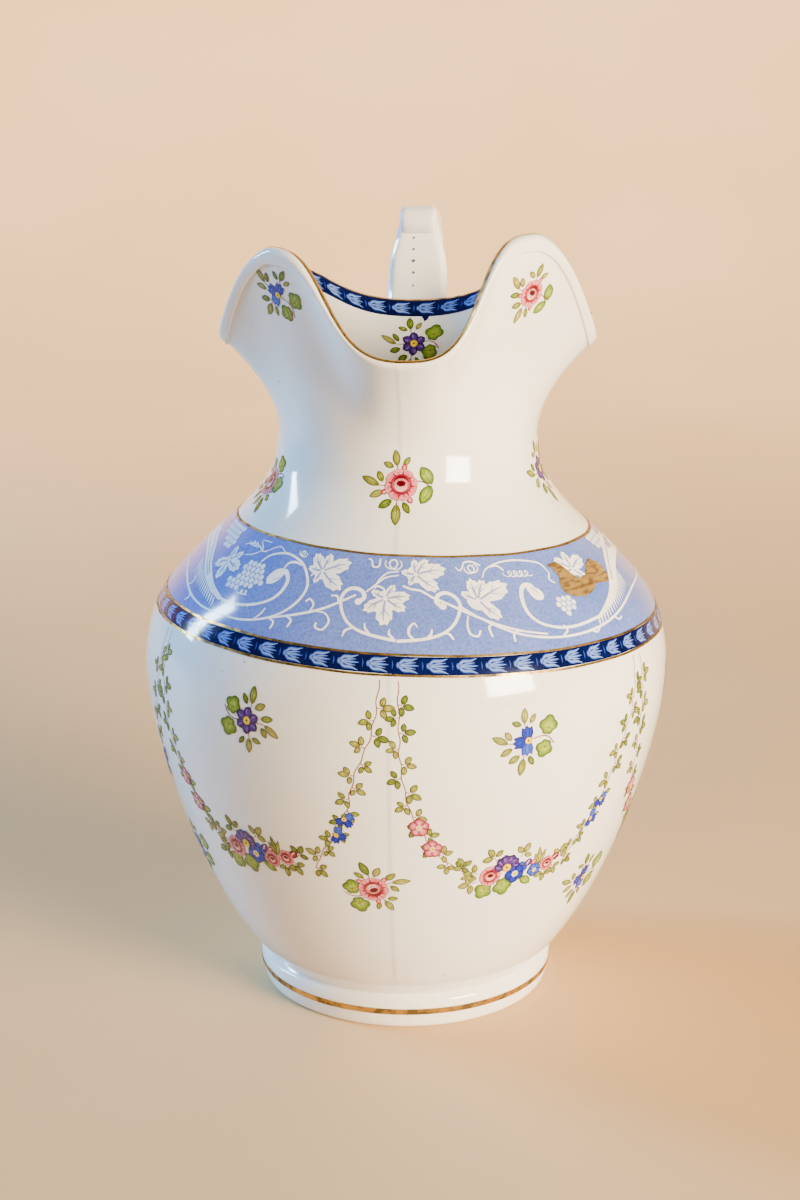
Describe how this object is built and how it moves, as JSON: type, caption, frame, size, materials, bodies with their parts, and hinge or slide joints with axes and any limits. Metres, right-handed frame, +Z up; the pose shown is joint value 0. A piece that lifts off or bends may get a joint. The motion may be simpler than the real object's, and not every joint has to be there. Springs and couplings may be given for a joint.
{
  "type": "porcelain jug",
  "caption": "Baluster jug for milk or cream, with a waved lip, a moulded body, a turned base with a foot ring, and a facetted loop handle.",
  "frame": {"origin": "on the plane that the jug stands on, under the middle of its overall width and depth, handle included; the body's own axis is parallel to Z at Y = -9.1 mm", "axes": "+Z up along the height, -Y towards the pouring lip, +Y towards the handle, +X to the right of someone looking at the lip; the halves meet on X = 0"},
  "size_m": [0.1236, 0.1419, 0.1836],
  "materials": {
    "body_glaze": "clear gloss glaze over white china, cream in warm light",
    "base_glaze": "clear gloss glaze, wiped bare where it stands",
    "handle_glaze": "clear gloss glaze",
    "blue_print": "light blue printed ground with white reserves, under gloss glaze",
    "husk_print": "dark cobalt printed border with pale husks, under gloss glaze",
    "enamel": "printed outlines filled by hand in green, pink, blue and purple enamel",
    "gilding": "thin burnished gilt lines, rubbed in places"
  },
  "bodies": {
    "root": {"body_left_half": "body_glaze", "body_right_half": "body_glaze", "base": "base_glaze", "handle": "handle_glaze"}
  },
  "joints": []
}
